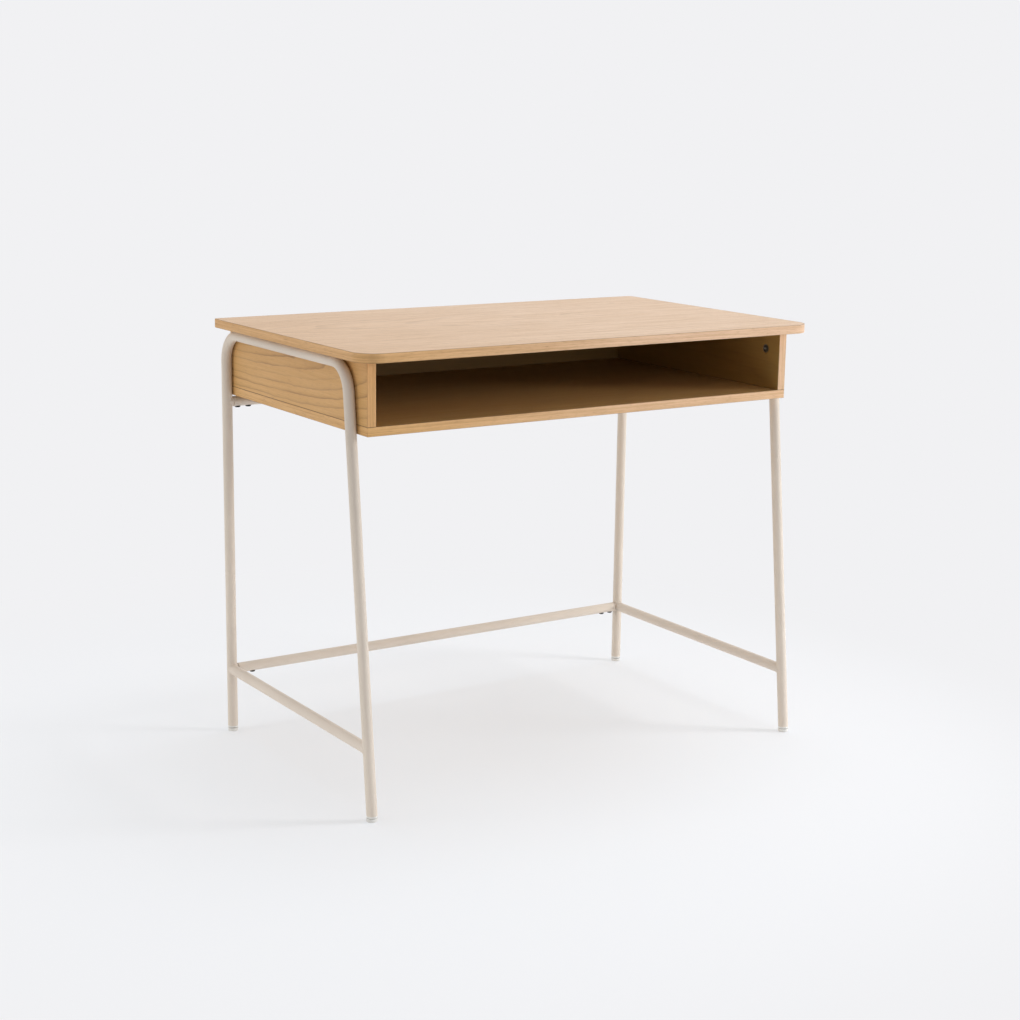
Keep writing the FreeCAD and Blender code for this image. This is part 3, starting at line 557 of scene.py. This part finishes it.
# The bottom board's band is three strips: one along the front, and one behind it at each end
def easedStrips(node):
    (left, front, low), (right, rear, high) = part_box(node)
    (boardLeft, boardFront, _), (boardRight, _, _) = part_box("bottom_panel")
    strips = [easedBox((left, front, low), (right, boardFront, high)),
              easedBox((left, boardFront, low), (boardLeft, rear, high)),
              easedBox((boardRight, boardFront, low), (right, rear, high))]
    for strip in strips:
        strip.select_set(True)
    bpy.ops.object.join()
    return bpy.context.object


def easeBoard(node):
    if node == "desk_top":
        board = easedTop(node)
    elif node == "bottom_edge_band":
        board = easedStrips(node)
    elif node in easedValues["drilled"]:
        board = easedDrilled(node)
    else:
        board = easedBox(*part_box(node))
    board.name = "eased_" + node
    board.data.materials.clear()
    board.data.materials.append(finishOf(node))
    for slot, (facing, finish) in enumerate(easedValues["otherFaces"].get(node, ()), start=1):
        board.data.materials.append(materials[finish])
        for face in board.data.polygons:
            if face.normal.dot(Vector(facing)) > easedValues["flat"]:
                face.material_index = slot
    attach(board, "desk")
    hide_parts(node)


for node in easedValues["nodes"]:
    easeBoard(node)
print("boards eased:", len(easedValues["nodes"]))

# Weld beads where a stretcher meets a leg: a ring drawn into the saddle of the two tubes
weldValues = {
    "tubeRadius": 0.009,
    "gap": 0.0001,             # between the coped stretcher and the leg
    "frontLean": 6.1,          # degrees that the front leg leans back
    "beadRadius": 0.0015,
    "thinnest": 0.12,          # share of the bead left at the sides
    "around": 60,
    "across": 10,
    "ripples": 30,             # ridges along the bead
    "ripple": 0.00015,
}


def weldBead(name, stretcher, towards):
    radius, gap = weldValues["tubeRadius"], weldValues["gap"]
    low, high = (Vector(corner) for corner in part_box(stretcher))
    middle = (low + high) / 2
    # the leg's axis lies this far past the stretcher's end
    pastEnd = math.sqrt((radius + gap) ** 2 - radius ** 2)
    leg = high.y + pastEnd if towards > 0 else low.y - pastEnd
    lean = 0 if towards > 0 else math.tan(math.radians(weldValues["frontLean"]))
    bpy.ops.object.select_all(action="DESELECT")
    bpy.ops.mesh.primitive_torus_add(
        major_radius=radius, minor_radius=weldValues["beadRadius"],
        major_segments=weldValues["around"], minor_segments=weldValues["across"],
        rotation=(math.radians(90), 0, 0))
    bead = bpy.context.object
    bead.name = name
    bpy.ops.object.transform_apply(location=False, rotation=True, scale=False)
    for vertex in bead.data.vertices:
        x, y, z = vertex.co
        turn = math.atan2(z, x)
        # the tubes meet square above and below and touch flat at the sides, where the bead runs out
        square = abs(math.sin(turn))
        thick = weldValues["thinnest"] + (1 - weldValues["thinnest"]) * square
        ridge = weldValues["ripple"] * square * math.sin(weldValues["ripples"] * turn)
        ring = radius + (math.hypot(x, z) - radius) * thick + ridge
        wall = leg - towards * radius * square + lean * math.sin(turn) * radius
        vertex.co = (middle.x + ring * math.cos(turn), wall + y * thick,
                     middle.z + ring * math.sin(turn))
    bpy.ops.object.mode_set(mode="EDIT")
    bpy.ops.mesh.select_all(action="SELECT")
    bpy.ops.mesh.normals_make_consistent(inside=False)
    bpy.ops.object.mode_set(mode="OBJECT")
    bpy.ops.object.shade_smooth()
    bead.data.materials.append(materials["powderCoat"])
    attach(bead, "desk")


for end in ("left", "right"):
    weldBead("weld_rear_" + end, "side_stretcher_" + end, 1)
    weldBead("weld_front_" + end, "side_stretcher_" + end, -1)
print("stretchers welded")

# Studio: pale floor that fades into the backdrop, a large lamp overhead, a low one at the front right,
# a weak one in front and a fill at the left
studioValues = {
    "backdrop": (0.880, 0.880, 0.896),
    "floorColour": (0.884, 0.912, 0.950),
    "bounceColour": (0.97, 0.97, 0.98),     # the floor as the object's undersides see it
    "floorSize": 4.0,
    "fadeCentre": (-0.25, 0.0, 0.0),
    "fadeReach": (0.45, 1.35),   # distances from that centre where the fade begins and where it is full
    "fadeNear": 0.36,            # share of the backdrop in the floor at that centre
    "skyFront": 0.0,             # strength low in front
    "skyAbove": 0.98,            # strength overhead and behind
    "skyTilt": 0.45,             # how much the back of the sky counts beside its height
    "aim": (0.0, 0.0, 0.4),
}
lampValues = {
    "keyLamp": {"place": (1.05, -0.1, 3.8), "size": 2.0, "power": 20.0, "colour": (1.0, 1.0, 1.0),
                "mirrored": True},
    "sideLamp": {"place": (2.7, -1.75, 1.1), "size": 0.7, "power": 57.0, "colour": (1.0, 1.0, 1.0),
                 "mirrored": False},
    "frontLamp": {"place": (0.4, -3.6, 1.2), "size": 1.6, "power": 16.0, "colour": (1.0, 1.0, 1.0),
                  "mirrored": False},
    "fillLamp": {"place": (-3.0, 0.7, 0.5), "size": 1.0, "power": 17.5, "colour": (1.0, 0.94, 0.85),
                 "mirrored": False},
}


def makeFloor():
    bpy.ops.object.select_all(action="DESELECT")
    bpy.ops.mesh.primitive_plane_add(size=studioValues["floorSize"])
    floor = bpy.context.object
    floor.name = "studioFloor"
    material, tree, shader, place = newMaterial("studioFloor")
    reach = addNode(tree, "ShaderNodeVectorMath", 1, 0, operation="DISTANCE")
    wire(tree, place, reach.inputs[0])
    reach.inputs[1].default_value = studioValues["fadeCentre"]
    fade = remap(tree, 2, 0, reach.outputs["Value"], studioValues["fadeReach"],
                 (studioValues["fadeNear"], 1.0), interpolation_type="SMOOTHSTEP")
    looking = addNode(tree, "ShaderNodeLightPath", 2, 2).outputs["Is Camera Ray"]
    black = (0.0, 0.0, 0.0)
    lit = mixColour(tree, 3, 0, fade, studioValues["floorColour"], black)
    faded = mixColour(tree, 3, 1, fade, black, studioValues["backdrop"])
    seen = mixColour(tree, 4, 0, looking, studioValues["bounceColour"], lit)
    glow = mixColour(tree, 4, 1, looking, black, faded)
    wire(tree, seen, shader.inputs["Base Color"])
    wire(tree, glow, shader.inputs["Emission Color"])
    for name, number in (("Roughness", 1.0), ("Specular IOR Level", 0.0), ("Emission Strength", 1.0)):
        shader.inputs[name].default_value = number
    floor.data.materials.append(material)


def makeSky():
    world = bpy.data.worlds.new("studioSky")
    world.use_nodes = True
    bpy.context.scene.world = world
    tree = world.node_tree
    tree.nodes.clear()
    path = addNode(tree, "ShaderNodeLightPath", 0, 0)
    shown = mathNode(tree, "MAXIMUM", 1, 0, path.outputs["Is Camera Ray"], path.outputs["Is Glossy Ray"])
    shown = mathNode(tree, "MAXIMUM", 2, 0, shown, path.outputs["Is Transmission Ray"])
    # the light grows from low in front to overhead and behind
    coordinates = addNode(tree, "ShaderNodeTexCoord", 0, 2)
    heading = axesOf(tree, 1, 2, coordinates.outputs["Generated"])
    tilt = studioValues["skyTilt"]
    lift = mathNode(tree, "ADD", 3, 2, heading[2], mathNode(tree, "MULTIPLY", 2, 3, heading[1], tilt))
    strength = remap(tree, 3, 3, lift, (-tilt, 1.0), (studioValues["skyFront"], studioValues["skyAbove"]))
    light = addNode(tree, "ShaderNodeBackground", 4, 1)
    light.inputs["Color"].default_value = (1, 1, 1, 1)
    wire(tree, strength, light.inputs["Strength"])
    backdrop = addNode(tree, "ShaderNodeBackground", 4, 2)
    backdrop.inputs["Color"].default_value = (*studioValues["backdrop"], 1)
    blend = addNode(tree, "ShaderNodeMixShader", 5, 0)
    for socket, source in zip(blend.inputs, (shown, light.outputs[0], backdrop.outputs[0])):
        wire(tree, source, socket)
    output = addNode(tree, "ShaderNodeOutputWorld", 6, 0)
    wire(tree, blend.outputs[0], output.inputs["Surface"])


def makeLamp(name):
    values = lampValues[name]
    bpy.ops.object.light_add(type="AREA", location=values["place"])
    lamp = bpy.context.object
    lamp.name = name
    lamp.data.size = values["size"]
    lamp.data.energy = values["power"]
    lamp.data.color = values["colour"]
    lamp.visible_glossy = values["mirrored"]       # low lamps would glare in the top
    heading = Vector(studioValues["aim"]) - Vector(values["place"])
    lamp.rotation_euler = heading.to_track_quat("-Z", "Y").to_euler()


makeFloor()
makeSky()
for name in lampValues:
    makeLamp(name)
print("studio lit")

# Camera at the photograph's viewing angle; yaw is from +Y towards +X and pitch is downwards
cameraValues = {
    "place": (-1.8050, -2.7441, 1.1243),
    "yaw": 33.254,
    "pitch": 12.2266,
    "roll": 0.809,
    "lens": 66.468,
    "sensor": 36.0,
    "farthest": 100,
}


def makeCamera():
    yaw, pitch, roll = (math.radians(cameraValues[name]) for name in ("yaw", "pitch", "roll"))
    ahead = Vector((math.sin(yaw) * math.cos(pitch), math.cos(yaw) * math.cos(pitch), -math.sin(pitch)))
    right = Vector((math.cos(yaw), -math.sin(yaw), 0))
    up = right.cross(ahead)
    rolledRight = right * math.cos(roll) + up * math.sin(roll)
    rolledUp = up * math.cos(roll) - right * math.sin(roll)
    bpy.ops.object.camera_add()
    camera = bpy.context.object
    camera.name = "studioCamera"
    turn = Matrix((rolledRight, rolledUp, -ahead)).transposed().to_4x4()
    camera.matrix_world = Matrix.Translation(cameraValues["place"]) @ turn
    camera.data.sensor_width = cameraValues["sensor"]
    camera.data.lens = cameraValues["lens"]
    camera.data.clip_end = cameraValues["farthest"]
    bpy.context.scene.camera = camera


makeCamera()
bpy.context.scene.view_settings.view_transform = "Standard"
print("camera set")
